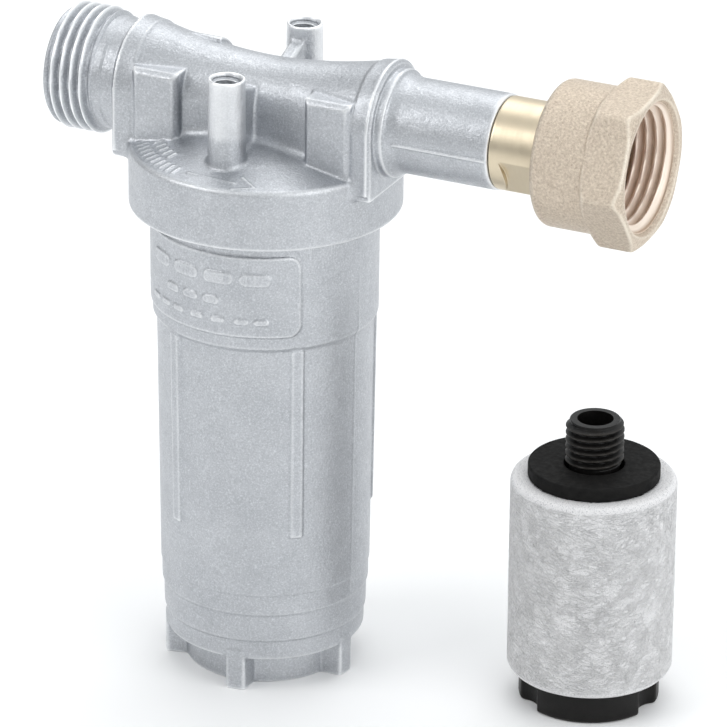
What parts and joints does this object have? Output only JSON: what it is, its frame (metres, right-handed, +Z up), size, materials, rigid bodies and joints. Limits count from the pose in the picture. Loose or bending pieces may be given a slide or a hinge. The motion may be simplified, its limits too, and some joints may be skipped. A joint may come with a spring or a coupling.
{
  "type": "inline cartridge filter",
  "caption": "In-line cartridge filter: cast head with male thread and union nut, screw-on cast bowl, fleece cartridge on a threaded spigot, and a loose spare cartridge.",
  "frame": {"origin": "centre of the bowl's foot plane", "axes": "+Z up along the bowl, +X along the pipe towards the union nut, -Y is the front"},
  "size_m": [0.1094, 0.0466, 0.1173],
  "materials": {
    "bowl_casting": "bright die-cast zinc or aluminium, fine cast skin",
    "head_casting": "bright die-cast zinc or aluminium, fine cast skin",
    "turned_brass": "turned, satin",
    "cast_bronze": "sand-cast skin, machined thread and face",
    "magnet_steel": "brushed",
    "screen_steel": "woven wire",
    "rubber": "matt black rubber",
    "gasket_fibre": "pressed fibre",
    "black_plastic": "moulded, slightly textured",
    "fleece": "bonded white fleece"
  },
  "bodies": {
    "bowl_body": {"bowl": "bowl_casting", "magnet_holder": "black_plastic", "magnet_rod": "magnet_steel"},
    "seal_carrier": {"bowl_gasket": "rubber"},
    "slip_carrier": {"bowl_slip_ring": "magnet_steel"},
    "head": {"head_casting": "head_casting", "tailpiece": "turned_brass", "tailpiece_o_ring": "rubber", "union_gasket": "gasket_fibre"},
    "nut_carrier": {"nut_slip_ring": "turned_brass"},
    "nut": {"union_nut": "cast_bronze"},
    "washer_carrier": {"cartridge_washer": "rubber"},
    "cartridge": {"cartridge_spigot": "black_plastic", "cartridge_core": "black_plastic", "cartridge_screen": "screen_steel", "cartridge_fleece": "fleece", "cartridge_base": "black_plastic"},
    "spare_cartridge": {"spare_washer": "rubber", "spare_spigot": "black_plastic", "spare_core": "black_plastic", "spare_screen": "screen_steel", "spare_fleece": "fleece", "spare_base": "black_plastic"}
  },
  "joints": [
    {"name": "head_lift_off", "type": "slide", "parent": "bowl_body", "child": "seal_carrier", "axis": [0, 0, 1], "range_m": [0, 0.06]},
    {"name": "head_rise", "type": "slide", "parent": "seal_carrier", "child": "slip_carrier", "axis": [0, 0, 1], "range_m": [0, 0.0046]},
    {"name": "head_unscrew", "type": "hinge", "parent": "slip_carrier", "child": "head", "pos_m": [0, 0, 0.09], "axis": [0, 0, 1], "range_deg": [0, 1080]},
    {"name": "nut_slide_back", "type": "slide", "parent": "head", "child": "nut_carrier", "axis": [-1, 0, 0], "range_m": [0, 0.009]},
    {"name": "nut_spin", "type": "hinge", "parent": "nut_carrier", "child": "nut", "pos_m": [0.06, 0, 0.1031], "axis": [1, 0, 0], "continuous": true},
    {"name": "cartridge_drop", "type": "slide", "parent": "head", "child": "washer_carrier", "axis": [0, 0, -1], "range_m": [0, 0.0088]},
    {"name": "cartridge_unscrew", "type": "hinge", "parent": "washer_carrier", "child": "cartridge", "pos_m": [0, 0, 0.09], "axis": [0, 0, -1], "range_deg": [0, 2520]},
    {"name": "spare_lift", "type": "slide", "parent": "bowl_body", "child": "spare_cartridge", "axis": [0, 0, 1], "range_m": [0, 0.03]}
  ],
  "couplings": [
    {"joint": "head_rise", "follows": "head_unscrew", "m_per_rad": 0.00023873},
    {"joint": "cartridge_drop", "follows": "cartridge_unscrew", "m_per_rad": 0.00019894}
  ]
}
